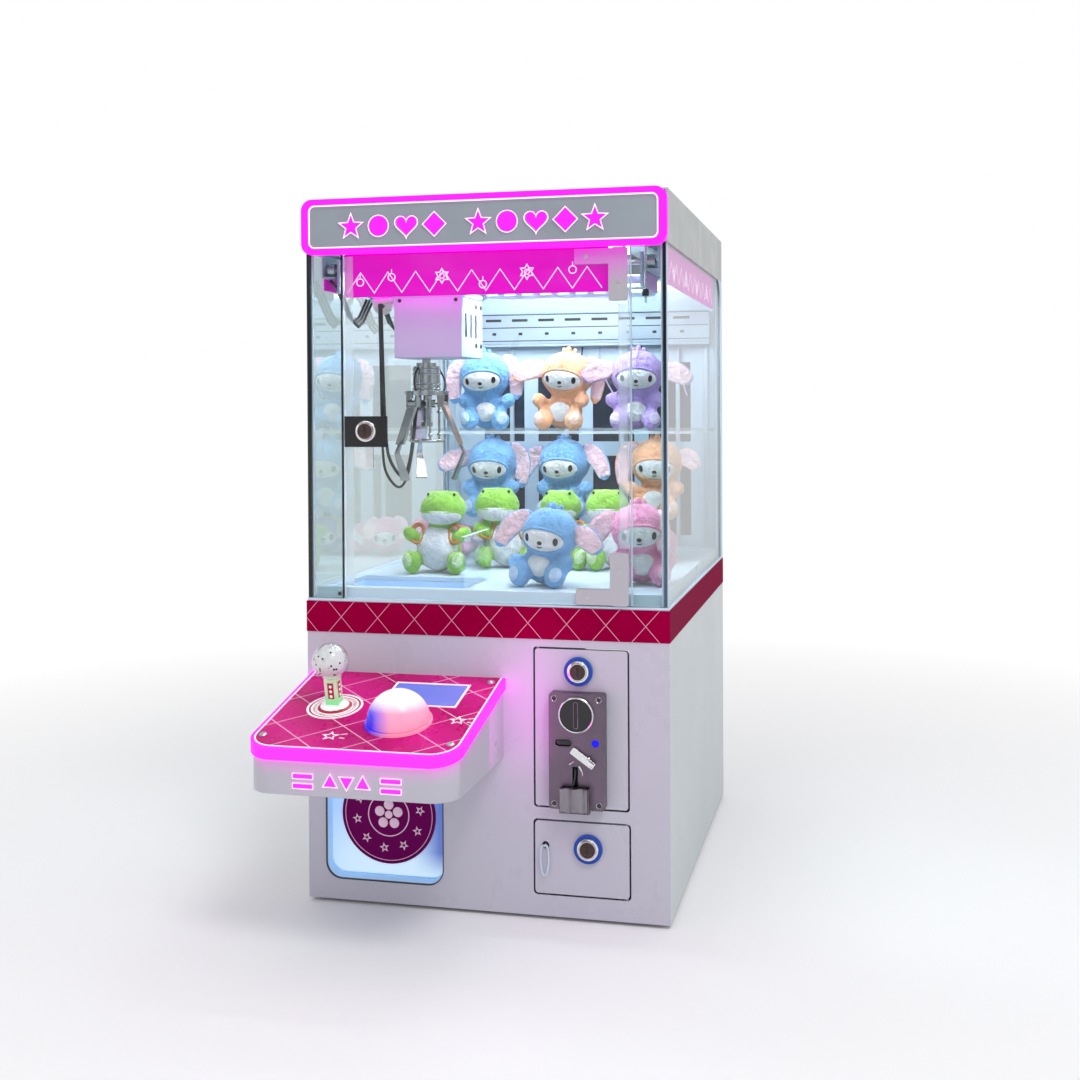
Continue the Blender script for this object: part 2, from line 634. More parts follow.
def finish_cad_nodes(m):
    """Gives every CAD node that stays in view its material, and rounds the edges of some."""
    looks = {
        "white": "front_panel", "side": "side_panels rear_panel", "coin_door": "coin_door",
        "cash_door": "cash_door", "pan": "base_pan", "foot": "feet", "belt": "belt_trim", "plastic": "deck",
        "chute": "prize_chute", "housing": "desk_housing", "cover": "trolley_cover", "guard": "chute_guard",
        "acrylic": "display_shelf", "glass": "fixed_glass", "door_glass": "glass_door", "wall": "rear_frame",
        "header": "header_box", "grey": "header_face", "light": "header_lights", "rim": "desk_lights",
        "valance": "valances", "diffuser": "chamber_lights", "gantry": "gantry_rails bridge_frame",
        "desk": "desk_top_panel", "screen": "display_screen", "patch": "door_brackets",
        "dark": "joystick_base mains_inlet", "black": "glass_lock_plate return_flap",
        "steel": "coin_box power_supply trolley_frame bridge_axle winch_drum gimbal_ring",
        "board": "control_board", "acceptor": "coin_acceptor", "motor": "bridge_motor winch_motor",
        "chrome": "coin_lock cash_lock glass_lock reject_lever", "flap": "prize_flap",
        "claw": "claw_housing claw_plunger finger_1 finger_2 finger_3", "stick": "joystick_stick",
        "globe": "joystick_ball",
        "dome": "button_dome button_housing",
    }
    for key, names in looks.items():
        for name in names.split():
            mesh = NODES[name].data
            mesh.materials.clear()
            mesh.materials.append(m[key])
    rounded = {"trolley_cover": 1.2, "header_box": 1.2, "side_panels": 0.6, "deck": 0.8, "desk_housing": 0.9,
               "coin_acceptor": 1.1, "base_pan": 0.6}
    for name, width in rounded.items():
        soften(name, width)


# ---------------------------------------------------------------- header, glass and chamber


def header_details(m):
    """Pale outlines of the lit frame and icons."""
    mid = 769.5
    lines = Shape()
    outline = round_rect_points((0, mid), (401.5, 47.5), 6.5)
    lines.ribbon(outline, 1.6, (FRONT - 8.9, FRONT - 10.2), closed=True)
    for k in range(9):
        at = (-150 + k * 33 + (18 if k > 3 else 0), mid - 1)
        icon = (star_points(at, 15.0, 6.3), circle_points(at, 12, 40), heart_points(at, 14.0),
                corner_points(at, 13.8, 13.8, ((0, 1), (-1, 0), (0, -1), (1, 0))))[k % 4]
        lines.ribbon(icon, 1.1, (FRONT - 9.3, FRONT - 10.0), closed=True)
    lines.make("header_outlines", "cabinet", [m["line"]], "magenta_light", angle=60)


def valance_details(m):
    """Zigzag, stars and rings printed on the valances."""
    art = Shape()
    depth = (FRONT + 7.95, FRONT + 7.6)
    zigzag = [(-162 + 16.55 * k, 718 if k % 2 else 694.5) for k in range(19)]
    art.ribbon(zigzag, 0.9, (FRONT + 7.95, FRONT + 7.75))
    for at in ((-48, 712), (51, 714)):
        art.ribbon(star_points(at, 8.2, 4.8, 6), 1.2, depth, closed=True)
        art.ribbon(circle_points(at, 2.8, 16), 1.0, depth, closed=True)
    for x, z in ((-146, 707), (-108, 712), (0, 701.5), (103, 715)):
        art.ribbon(circle_points((x, z), 4.2, 20), 1.1, depth, closed=True)
        art.ribbon([(x, z + 4.6), (x, z + 9)], 0.9, depth)
    art.make("valance_print_front", "cabinet", [m["line"]], "valance_print", angle=60)
    for side, name in ((-1, "left"), (1, "right")):
        art = Shape()
        art.ribbon([(-205 + 20.4 * k, 728 if k % 2 else 706) for k in range(21)], 1.3, (0.05, 0.25))
        for k in range(4):
            art.ribbon(star_points((-164 + 102 * k, 716), 7.8, 3.6), 1.2, (0.05, 0.45), closed=True)
        turn = Matrix(((0, side, 0, side * 0.2025), (1, 0, 0, 0), (0, 0, 1, 0), (0, 0, 0, 1)))
        art.make("valance_print_" + name, "cabinet", [m["line"]], "valance_print", matrix=turn, angle=60)


def glass_details(m):
    """Seals and bright strips on the corners of the glass box, door stop and patch screws."""
    seals, strips = Shape(), Shape()

    def post(shape, x0, x1, y0, y1, soft=0.4, slot=0):
        shape.box((x0, y0, GLASS_Z[0]), (x1, y1, GLASS_Z[1]), soft, slot)

    for x, y, half, slot in ((-206, FRONT, 2.6, 0), (-206, 244.5, 1.7, 0), (206.2, FRONT, 1.7, 1),
                             (206.4, 244.5, 1.8, 2)):
        post(seals, x - half, x + half, y, y + 2.8, 0.5, slot)
    post(seals, -167.2, -165.4, FRONT + 0.6, FRONT + 4.4)
    seals.make("glass_seals", "cabinet", [m["black"], m["seal"], m["header"]], "dark_plastic")
    post(strips, 168.1, 169.6, FRONT + 0.6, FRONT + 4.4)
    post(strips, 207.5, 208.8, FRONT + 3.2, FRONT + 7.4)
    for side in (-1, 1):
        post(strips, side * 202.8 - 1, side * 202.8 + 1, FRONT + 2.2, FRONT + 6.2)
        post(strips, side * 203.4 - 0.8, side * 203.4 + 0.8, 240, 244)
    strips.make("glass_corner_strips", "cabinet", [m["plastic"]], "white_plastic")
    stop = Shape()
    stop.box((-173.5, FRONT + 0.2, 346.2), (-166.9, FRONT + 7, 356), 1.2)
    stop.make("door_stop", "cabinet", [m["guard"]], "clear_acrylic")
    pin = Shape()
    head = [(0, 0), (2.2, 0), (2.2, 1), (1.2, 1.4), (0, 1.4)]
    pin.lathe(head, (-170.2, FRONT + 0.3, 351), TO_PLAYER, sides=20)
    pin.make("door_stop_screw", "cabinet", [m["dark"]], "dark_plastic")
    screws = Shape()
    head = [(0, 0), (2.6, 0), (2.6, 0.3), (1.3, 0.4), (1.1, -0.8), (0, -0.8)]
    for z, way in ((359, 1), (724, -1)):
        for x, dz in ((120, -4), (156, 26)):
            screws.lathe(head, (x, FRONT - 2.05, z + way * dz), TO_PLAYER, sides=6)
    screws.make("patch_screws", "glass_door", [m["steel"]], "bright_steel")


def chamber_details(m):
    """What shows through the glass behind the toys: dark panes, slotted rail, posts, wires and a knob."""
    panes = Shape()
    for low in (374, 510):
        for x in (-145, -62, 21, 104):
            panes.box((x - 1, 250.1, low), (x + 63, 251.4, low + 117))
    panes.make("rear_panes", "cabinet", [m["window"]], "dark_plastic")
    rail = Shape()
    rail.box((-196, 226, 655), (196, 244, 700), 1.2)
    rail.box((-196, 222, 651), (196, 244, 654.6), 0.8)
    for x in (-190, -104, -21, 62, 145, 186):
        rail.box((x, 241, 360), (x + 6, 246.6, 650.6), 0.8)
    rail.make("rear_rail", "cabinet", [m["gantry"]], "gantry_paint")
    slots = Shape()
    for k in range(9):
        slots.box((-176 + k * 40, 225.6, 688), (-152 + k * 40, 227, 692), 0.6)
        slots.box((-166 + k * 40, 225.6, 668), (-160 + k * 40, 227, 672), 0.6)
    for z in (659, 678.5, 697.5):
        slots.box((-195, 225.7, z), (195, 226.4, z + 1.3), 0.2)
    slots.make("rear_rail_slots", "cabinet", [m["dark"]], "dark_plastic")
    wires = Shape()
    for k, (x, dx) in enumerate(((-20, 14), (8, -10), (34, 22), (96, -16), (150, 12))):
        path = [(x + dx * s ** 2, 238 - 6 * math.sin(s * 3.14), 650 - 72 * s)
                for s in (t / 9 for t in range(10))]
        wires.tube(path, 1.1, k % 2, sides=8)
    wires.make("rear_wires", "cabinet", [m["cover"], m["cable"]], "white_plastic")
    knob = Shape()
    knob.tube([(184, -250.5, 741.5), (184, -250.5, 677)], 1.3, 0, sides=10)
    knob.lathe([(0, -4), (3.2, -4), (3.8, -3), (3.8, 3), (3.2, 4), (0, 4)], (184, -250.5, 688), UP, 1, 24)
    knob.make("chamber_knob", "cabinet", [m["steel"], m["black"]], "dark_plastic")
    loom = Shape()
    for k in range(3):
        path = [(-193 + 3 * k, -225 + 420 * s, 712 - 44 * math.sin(s * math.pi * 3) ** 2 - 3 * k)
                for s in (t / 24 for t in range(25))]
        loom.tube(path, 1.8, k % 2, sides=8)
    loom.make("gantry_loom", "cabinet", [m["cable"], m["motor"]], "cable_rubber")


def crane_details(m):
    """Screws and lip of the trolley, and the cord, cables, spring, bands and leads of the claw."""
    screws = Shape()
    head = [(0, 0), (2.8, 0), (2.8, 0.9), (1.4, 1.4), (0, 1.4)]
    for y in (-170, -150):
        for z in (636, 682):
            screws.lathe(head, (-33, y, z), TO_RIGHT, sides=20)
    for x in (-108, -40):
        screws.lathe([(0, 0), (2.2, 0), (2.2, 0.7), (0, 1)], (x, -226, 687), TO_PLAYER, sides=20)
    screws.make("trolley_screws", "trolley", [m["dark"]], "dark_plastic")
    lip = Shape()
    lip.box((-116.2, -227.2, 690.6), (-31.8, -225.9, 694.4), 0.5)
    lip.box((-32.9, -226, 690.6), (-31.7, -142, 696), 0.5)
    lip.make("trolley_lip", "trolley", [m["cover"]], "white_plastic")

    cord = Shape()
    x, y = CLAW
    path = [(x + 0.02 * math.cos(t * 0.9), y + 0.25 * math.sin(t * 0.9), 619 + 0.41 * t) for t in range(101)]
    cord.tube(path, 0.9, sides=8)
    cord = cord.make("lift_cord_braid", None, [m["cord"]], "cord")
    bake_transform(cord)
    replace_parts(cord, "lift_cord")

    cable = Shape()
    for k, low in enumerate((492, 478)):
        path = []
        for s in (t / 39 for t in range(40)):
            bulge = math.sin(math.pi * s)
            path.append(((-130 - 2 * k) * (1 - s) + (x - 9) * s - (7 + 5 * k) * bulge ** 1.3,
                         -228 * (1 - s) + (-190 + 4 * k) * s - 5 * bulge,
                         684 * (1 - s) + 606 * s - (645 - low) * (1 - (2 * s - 1) ** 4) * 0.98))
        cable.tube(path, 1.9 - 0.3 * k, sides=10)
    cable = cable.make("claw_cable_loops", None, [m["cable"]], "cable_rubber")
    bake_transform(cable)
    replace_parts(cable, "claw_cable")

    coil = Shape()
    coils, steps = 6, 150
    coil.tube([(x + 6.4 * math.cos(a), y + 6.4 * math.sin(a), 547.5 + 16.5 * a / (2 * math.pi * coils))
               for a in (2 * math.pi * coils * k / steps for k in range(steps + 1))], 0.6, sides=8)
    coil.make("plunger_spring", "claw", [m["claw"]], "claw_chrome")
    bands = Shape()
    for z in (585.5, 591, 603, 608.5):
        bands.lathe([(15.5, -0.8), (16.8, -0.8), (17.2, 0), (16.8, 0.8), (15.5, 0.8)], (x, y, z), sides=40)
    nut = [(0, -1.6), (2.6, -1.6), (3, -1), (3, 1), (2.6, 1.6), (0, 1.6)]
    for at in around(CLAW, 19.5, turn_angles(3, math.radians(60))):
        for z in (576.2, 558, 531):
            bands.lathe(nut, (*at, z), sides=6)
    bands.make("claw_bands", "claw", [m["claw"]], "claw_chrome")
    leads = Shape()
    for a, lean in ((0.9, 10), (2.2, -6), (4.4, 5)):
        path = []
        for t in range(12):
            reach = 16 + 9 * math.sin(t / 11 * 3.14)
            path.append((x + reach * math.cos(a) + lean * (t / 11) ** 2 * 0.4, y + reach * math.sin(a),
                         611 - 36 * t / 11))
        leads.tube(path, 1.1, sides=8)
    leads.make("claw_leads", "claw", [m["cable"]], "cable_rubber")


# ---------------------------------------------------------------- control desk and doors


def desk_details(m):
    """Bright lines, printed stars and screws on the sloping desk."""
    lines = Shape()
    half, corner, inset = (DESK_X[1] - DESK_X[0]) / 2 - 1.6, 26.4, 1.6
    edge = [(DESK_MID + half, -1)]
    for side, start in ((1, 0), (-1, -math.pi / 2)):
        for a in turn_angles(8, start, -math.pi / 2) + [start - math.pi / 2]:
            edge.append((DESK_MID + side * (half - corner) + corner * math.cos(a),
                         (inset - DESK_OUT + corner + corner * math.sin(a)) * SLOPE))
    edge.append((DESK_MID - half, -1))
    lines.ribbon(edge, 1.6, (-0.2, 0.5))
    lines.ribbon(corner_points((SCREEN[0], SCREEN[1] * SLOPE), 41.7, 27.8), 2.2, (-0.2, 0.7), closed=True)
    for x, y in ((-118, -155 * SLOPE), (4, -107 * SLOPE)):
        lines.ribbon(star_points((x, y), 8.5, 3.6, 5, 0.4), 1.1, (-0.2, 0.2), closed=True)
        lines.ribbon([(x + 10, y + 4), (x + 16.5, y + 6.5)], 1.1, (-0.2, 0.2))
        lines.ribbon([(x + 11, y - 3), (x + 17, y - 4)], 1.1, (-0.2, 0.2))
    swap = Matrix(((1, 0, 0, 0), (0, 0, 1, 0), (0, 1, 0, 0), (0, 0, 0, 1)))
    lines.make("desk_lines", "cabinet", [m["white_line"]], "desk_print", matrix=DESK @ swap, angle=60)
    screws = Shape()
    head = [(0, 0), (4.2, 0), (4.2, 0.8), (3.4, 1.8), (2.0, 2.2), (1.8, 1.2), (0, 1.2)]
    for x, y in ((-190, -160), (13, -160), (13, -13), (-190, -13)):
        screws.lathe(head, (x, y * SLOPE, 0), sides=24)
    screws.make("desk_screws", "cabinet", [m["steel"]], "bright_steel", matrix=DESK)


def joystick_details(m):
    """Printed rings round the joystick and on its cap, marks on the stick, the speckled core of its ball."""
    foot = Vector((STICK[0], STICK[1] * SLOPE, 0))
    rings = Shape()
    for i, (r0, r1, h) in enumerate(((23.6, 25.8, 0.5), (25.8, 28.0, 0.35), (28.0, 30.4, 0.6))):
        rings.lathe([(r0, -0.3), (r1, -0.3), (r1, h), (r0, h), (r0, -0.3)], foot, slot=i % 2)
    rings.make("joystick_rings", "cabinet", [m["white_line"], m["red"]], "desk_print", matrix=DESK)
    cap = Shape()
    for i, (r0, r1) in enumerate(((7.6, 15.5), (15.5, 18.6), (18.6, 21.4))):
        arc = [r0 + (r1 - r0) * k / 6 for k in range(7)]
        top = [(q, math.sqrt(35.6 ** 2 - q ** 2)) for q in arc]
        low = [(q, math.sqrt(34.8 ** 2 - q ** 2)) for q in reversed(arc)]
        cap.lathe(top + low + top[:1], foot - Vector((0, 0, 30)), slot=i % 2)
    cap.make("joystick_cap_print", "stick", [m["white_line"], m["red"]], "stick_clear", matrix=DESK)
    marks = Shape()
    for k in range(4):
        face = Matrix.Translation(foot) @ Matrix.Rotation(k * math.pi / 2, 4, "Z")
        plate, dots = Shape(), Shape()
        plate.box((-3.4, -7.4, 12), (3.4, -6.9, 30), 0.2)
        for z in (15, 20.5, 26):
            dots.lathe([(0, 0), (1.7, 0), (1.5, 0.3), (0, 0.4)], (0, -7.38, z), TO_PLAYER, sides=12)
        for slot, part in enumerate((plate, dots)):
            marks.add(part.verts, part.faces, slot, face)
    marks.make("joystick_marks", "stick", [m["red"], m["white_line"]], "stick_clear", matrix=DESK)
    core = Shape()
    ball, r = foot + Vector((0, 0, 52)), 17.8
    profile = [(r * math.sin(a), -r * math.cos(a)) for a in (math.pi * k / 24 for k in range(25))]
    core.lathe([(q, h) for q, h in profile if h > -14.0], ball)
    random.seed(7)
    for k in range(60):
        way = Vector([random.gauss(0, 1) for _ in range(3)]).normalized()
        if way.z > -0.6:
            core.lathe([(0, 17.5), (1.2, 17.7), (1.0, 18.1), (0, 18.2)], ball, way, 1 + k % 3 // 2, 10)
    core.make("joystick_ball_core", "stick", [m["pearl"], m["black"], m["steel"]], "ball_clear", matrix=DESK)


def desk_lamp_details(m):
    """Pale outlines of the lamps on the front of the desk."""
    front = Shape()
    depth = (FRONT - DESK_OUT - 0.9, FRONT - DESK_OUT - 1.6)
    for side in (-1, 1):
        for z in (193, 183):
            bar = round_rect_points((DESK_MID + side * 47, z), (22, 5.5), 0.5, 2)
            front.ribbon(bar, 0.9, depth, closed=True)
    for dx, z, start in ((-17.5, 188, math.pi / 2), (17.5, 188, math.pi / 2), (0, 190, -math.pi / 2)):
        triangle = around((DESK_MID + dx, z), 9, turn_angles(3, start))
        front.ribbon(triangle, 0.9, depth, closed=True)
    front.make("desk_front_outlines", "cabinet", [m["line"]], "magenta_light", angle=60)


def lock_details(m):
    """Chrome bezels and dark keyed cores of the three cam locks."""
    for (x, z), y, door, name in ((COIN_LOCK, FRONT - 4, "coin_door", "coin_lock"),
                                  (CASH_LOCK, FRONT - 4, "cash_door", "cash_lock"),
                                  (GLASS_LOCK, FRONT - 3, "glass_door", "glass_lock")):
        bezel = Shape()
        bezel.lathe([(9.6, 0), (12.6, 0), (12.6, 0.9), (11.8, 2.1), (10.3, 2.5), (9.6, 2.1), (9.6, 0)],
                    (x, y - 0.02, z), TO_PLAYER)
        bezel.make(name + "_bezel", door, [m["chrome"]], "chrome_lock")
        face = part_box(name)[0].y / MM
        core = Shape()
        profile = [(0.6, 0.1), (8.7, 0.1), (8.7, 0.6), (8.0, 1.2), (6.8, 1.3), (0.6, 1.0)]
        core.lathe(profile, (x, face, z), TO_PLAYER)
        core.box((x - 1.1, face - 1.6, z - 5.2), (x + 1.1, face - 0.9, z + 5.2), slot=1)
        core.make(name + "_core", name, [m["core"], m["black"]], "chrome_lock")


def coin_details(m):
    """Face details of the coin acceptor: dial, slot lip, windows, lamp, screws, guide and rivets."""
    y = FRONT - 14
    dial, at = Shape(), (DIAL[0], y, DIAL[1])
    dial.lathe([(0.2, 1.9), (17.6, 1.9), (17.8, 2.4), (17.2, 3.1), (4, 3.4)], at, TO_PLAYER, 0, 64)
    rim = [(17.8, 1.8), (19.7, 1.8), (19.7, 3.0), (19.0, 3.6), (18.0, 3.3), (17.8, 1.8)]
    dial.lathe(rim, at, TO_PLAYER, 1, 64)
    dial.make("coin_dial", "coin_door", [m["black"], m["chrome"]], "dark_plastic")
    lip = Shape()
    lip.ribbon(round_rect_points(DIAL, (4.6, 29), 2.2, 5), 1.0, (y - 2.9, y - 4.1), closed=True)
    lip.make("coin_slot_lip", "coin_door", [m["acceptor"]], "acceptor_steel")
    oval = Shape()
    oval.ribbon(round_rect_points((95, 197), (20, 9), 4.4, 6), 1.2, (y - 0.1, y - 0.9), closed=True)
    oval.box((85.5, y + 1.2, 193), (104.5, y + 3.5, 201), 0.6, 1)
    oval.make("token_window", "coin_door", [m["acceptor"], m["black"]], "acceptor_steel")
    lamp = Shape()
    dome = [(0, 0), (3.9, 0), (3.9, 1.2), (3, 2.4), (1.2, 3), (0, 3)]
    lamp.lathe(dome, (130.5, y + 1.5, 197.5), TO_PLAYER, 0, 28)
    lamp.make("coin_lamp", "coin_door", [m["blue_lamp"]], "screen_glass")
    screws = Shape()
    washer = [(2.7, 0), (3.4, 0), (3.4, 0.3), (3.1, 0.7), (2.7, 0.4), (2.7, 0)]
    head = [(0, 0), (2.7, 0), (2.7, 0.2), (1.2, 0.3), (0, 0.3)]
    for x in (84.5, 134.5):
        for z in (130, 245):
            screws.lathe(washer, (x, y, z), TO_PLAYER, 0, 24)
            screws.lathe(head, (x, y, z), TO_PLAYER, 1, 24)
    screws.make("acceptor_screws", "coin_door", [m["chrome"], m["dark"]], "acceptor_steel")
    guide = Shape()
    guide.tube([(106.5, y - 1, 177.5), (103.8, y - 1, 175.2), (101.6, y - 1, 173.6)], 0.9, sides=8)
    strip = [(x, y - 0.9, z) for x, z in ((112.5, 172.5), (114.5, 169.0), (116.0, 165.5), (116.6, 162.0))]
    guide.tube(strip, [1.6, 1.3, 0.9, 0.4], sides=8)
    guide.make("reject_guide", "coin_door", [m["chrome"]], "bright_steel")
    rivets = Shape()
    lever = Matrix.Rotation(math.radians(-35), 2)
    for along, r in (((5.5, 4.4), 1.5), ((12.5, -2.0), 1.1)):
        at = Vector((117, 181.5)) + lever @ Vector(along)
        head = [(0, 0), (r, 0), (r, 1.2), (r * 0.6, 1.8), (0, 1.8)]
        rivets.lathe(head, (at.x, y - 3.4, at.y), TO_PLAYER, 0, 16)
    rivets.make("reject_lever_rivets", "reject_lever", [m["chrome"]], "bright_steel")


def return_details(m):
    """The coin return: a fin on its flap and a skin of folded steel over its cup."""
    rings = []
    for s in (k / 12 for k in range(13)):
        x, z, y = 108 - 7.2 * s ** 2, 168 - 30 * s, FRONT - 9.5 - 2.5 * s
        w = 2.2 * (0.35 + 0.65 * math.sin(math.pi * min(1, 0.25 + s * 0.7)))
        outline = ((-w, 0), (-w * 0.5, -3.2), (w * 0.5, -3.2), (w, 0), (0, 1.5))
        rings.append([(x + dx, y + dy, z) for dx, dy in outline])
    fin = Shape()
    fin.rings(rings)
    fin.make("return_flap_fin", "return_flap", [m["black"]], "dark_plastic")
    rings = []
    for z, reach in ((123.5, 0.0), (124.5, 0.8), (136.0, 1.0), (148.0, 1.25), (149.6, 1.35)):
        front = [(93.2 + 30.6 * k / 24, FRONT - 23.3 - reach * (1.3 + 1.5 * math.cos(k / 24 * math.pi * 4)))
                 for k in range(25)]
        back = [(x, FRONT - 22.3) for x in (122.6, 94.4)]
        rings.append([(x, y, z) for x, y in front + back])
    cup = Shape()
    cup.rings(rings)
    cup.box((95.2, FRONT - 22.4, 148.4), (121.8, FRONT - 14.6, 149.3), 0.3, 1)
    cup.make("return_cup_skin", "coin_door", [m["cup"], m["black"]], "acceptor_steel")


def pull_details(m):
    """The loop that pulls the cash door open."""
    pull = Shape()
    path = [(70.5 + 3.6 * math.sin(a) + 1.5 * math.cos(a / 2), FRONT - 2.2 - 1.2 * math.sin(a / 2),
             62.5 + 16.5 * math.cos(a)) for a in turn_angles(28)]
    pull.tube(path, 1.1, 0, 10, loop=True)
    pull.tube([(71, FRONT + 1.2, 79), (71, FRONT - 1.4, 79.2), (71.2, FRONT - 2.4, 77.5)], 1.2, 0, 10)
    pull.make("cash_pull_loop", "cash_door", [m["plastic"]], "white_plastic")


def flap_details(m):
    """Rings, a five-petal flower and small stars on the prize flap's disc, and the gasket of its opening."""
    art = Shape()
    depth = (FRONT + 14.95, FRONT + 14.7)
    art.ribbon(circle_points(PRIZE, 24.5, 64), 1.1, depth, closed=True)
    art.ribbon(circle_points(PRIZE, 52.5, 96), 0.6, depth, closed=True)
    for x, z in around(PRIZE, 11.5, turn_angles(5, math.pi / 2)):
        art.lathe([(0, 0), (5.8, 0), (5.6, 0.2), (0, 0.3)], (x, depth[0], z), TO_PLAYER, 0, 28)
    art.lathe([(0, 0), (4.6, 0), (4.5, 0.4), (0, 0.5)], (PRIZE[0], depth[0], PRIZE[1]), TO_PLAYER, 0, 28)
    for a in turn_angles(10, math.radians(-170)):
        star = star_points(around(PRIZE, 38.5, [a])[0], 4.6, 1.9, 5, a - math.pi / 2)
        art.ribbon(star, 1.0, depth, closed=True)
    art.make("flap_print", "prize_flap", [m["star"]], "flap_panel", angle=60)
    gasket = Shape()
    gasket.ribbon(round_rect_points(PRIZE, (140.5, 144), 18.5), 1.2, (FRONT - 0.2, FRONT + 2.4), closed=True)
    gasket.make("prize_opening_gasket", "cabinet", [m["dark"]], "dark_plastic")


def service_details(m):
    """Screws of the back panel."""
    screws = Shape()
    for x in (-195, 195):
        for z in (20, 150, 290):
            screws.lathe([(0, 0), (3.4, 0), (3.5, 0.7), (2.2, 1.8), (0, 2)], (x, 260, z), TO_BACK, sides=20)
    screws.make("cabinet_screws", "cabinet", [m["white"]], "white_steel")


# ---------------------------------------------------------------- soft toys

BLUE, PEACH, LILAC, PINK = "blue", "peach", "lilac", "pink"
PILE = {
    BLUE: (0.165, 0.43, 0.78), PEACH: (0.88, 0.44, 0.24), LILAC: (0.44, 0.31, 0.70), PINK: (0.90, 0.34, 0.58),
    "green": (0.27, 0.60, 0.045), "cream": (0.83, 0.86, 0.89), "ear": (0.86, 0.60, 0.68),
}
SHELF_Z, MIDDLE_Z, DECK_Z = 531.3, 413.3, 356.3

# Material slots of a toy; slot 1 is the ears' lining or the frogs' loops
OWN_PILE, SECOND, CREAM, EYE, PALE = range(5)


def tilt(x=0.0, y=0.0, z=0.0):
    return Matrix.Rotation(z, 3, "Z") @ Matrix.Rotation(y, 3, "Y") @ Matrix.Rotation(x, 3, "X")


class Ball:
    """An ellipsoid of a toy: its middle, its three radii and a matrix that turns it."""

    def __init__(self, at, radii, turn=None):
        self.at, self.radii, self.turn = Vector(at), radii, turn or Matrix.Identity(3)

    def skin(self, shape, slot=0, sides=28, rows=18):
        rings = []
        for a in (math.pi * i / rows for i in range(rows + 1)):
            ring = []
            for b in turn_angles(sides):
                way = (math.sin(a) * math.cos(b), math.sin(a) * math.sin(b), -math.cos(a))
                ring.append(self.turn @ Vector([r * w for r, w in zip(self.radii, way)]) + self.at)
            rings.append(ring)
        shape.rings(rings, slot)

    def way(self, aim):
        """The direction of (yaw, pitch), before the ball is turned."""
        yaw, pitch = aim
        return Vector((math.sin(yaw) * math.cos(pitch), -math.cos(yaw) * math.cos(pitch), math.sin(pitch)))

    def point(self, aim, out=0.0):
        """A point over the surface in the direction aim."""
        return self.at + self.turn @ Vector([(r + out) * w for r, w in zip(self.radii, self.way(aim))])

    def patch(self, shape, aim, half, lift, slot, bulge=0.6):
        """A sewn panel that follows the ball; half is half its size in (yaw, pitch)."""
        layers = [(t, lift + bulge * (1 - t ** 4)) for t in (0.04, 0.2, 0.4, 0.6, 0.78, 0.9, 0.97, 1.0)]
        layers += [(1.0, lift - 2.5), (0.04, lift - 3.0)]
        rings = [[self.point((aim[0] + half[0] * t * math.cos(a), aim[1] + half[1] * t * math.sin(a)), out)
                  for a in turn_angles(36)] for t, out in layers]
        shape.rings(rings, slot)

    def bead(self, shape, aim, size, out):
        """A flat eye or nose on the surface."""
        way = self.turn @ self.way(aim)
        turn = way.to_track_quat("Y", "Z").to_matrix()
        Ball(self.point(aim, out), (size[0], 1.6, size[1]), turn).skin(shape, EYE, 18, 12)


def points_of(mesh, key="co"):
    """The vertices' places or normals as rows of a table."""
    values = np.empty(len(mesh.vertices) * 3, np.float32)
    mesh.vertices.foreach_get(key, values)
    return values.reshape(-1, 3).astype(float)


def move_points(mesh, points):
    mesh.vertices.foreach_set("co", points.astype(np.float32).ravel())


def bake(obj, kind, **settings):
    """Adds one modifier, takes the mesh it makes, and removes the modifier."""
    modifier = obj.modifiers.new(kind.lower(), kind)
    for key, value in settings.items():
        setattr(modifier, key, value)
    bpy.context.view_layer.update()
    graph = bpy.context.evaluated_depsgraph_get()
    mesh = bpy.data.meshes.new_from_object(obj.evaluated_get(graph))
    obj.modifiers.clear()
    obj.data = mesh


def inflate(obj, seams, cap):
    """Blows the closed cover up with air pressure, held along its seams; no point moves further than cap."""
    rest = points_of(obj.data)
    group = obj.vertex_groups.new(name="seam")
    group.add([int(i) for i in np.nonzero(seams(rest / MM))[0]], 1.0, "REPLACE")
    cloth = obj.modifiers.new("stuffing", "CLOTH")
    s = cloth.settings
    s.use_pressure, s.uniform_pressure_force = True, 4.0
    s.effector_weights.gravity = 0.0
    s.vertex_group_mass = "seam"
    s.quality, s.mass = 4, 0.15
    s.tension_stiffness = s.compression_stiffness = 12.0
    s.bending_stiffness = 0.4
    cloth.collision_settings.use_collision = False
    for frame_number in range(1, 21):
        bpy.context.scene.frame_set(frame_number)
    graph = bpy.context.evaluated_depsgraph_get()
    step = points_of(obj.evaluated_get(graph).to_mesh()) - rest
    obj.modifiers.clear()
    bpy.context.scene.frame_set(1)
    size = np.maximum(np.linalg.norm(step, axis=1, keepdims=True), 1e-9)
    move_points(obj.data, rest + step * np.minimum(1.0, cap * MM / size))
    obj.vertex_groups.clear()


def nap(obj, seed):
    """Uneven stuffing and the ends of the pile, as small moves along the normals."""
    rest, normals = points_of(obj.data), points_of(obj.data, "normal")
    wave = np.zeros(len(rest))
    rng = np.random.default_rng(seed)
    for scale, size, count in ((110, 0.35, 6), (420, 0.16, 8), (1500, 0.10, 10)):
        for _ in range(count):
            way = rng.normal(size=3)
            way *= scale / np.linalg.norm(way)
            wave += size * MM * np.sin(rest @ way + rng.uniform(0, 2 * math.pi)) / math.sqrt(count)
    move_points(obj.data, rest + normals * wave[:, None])


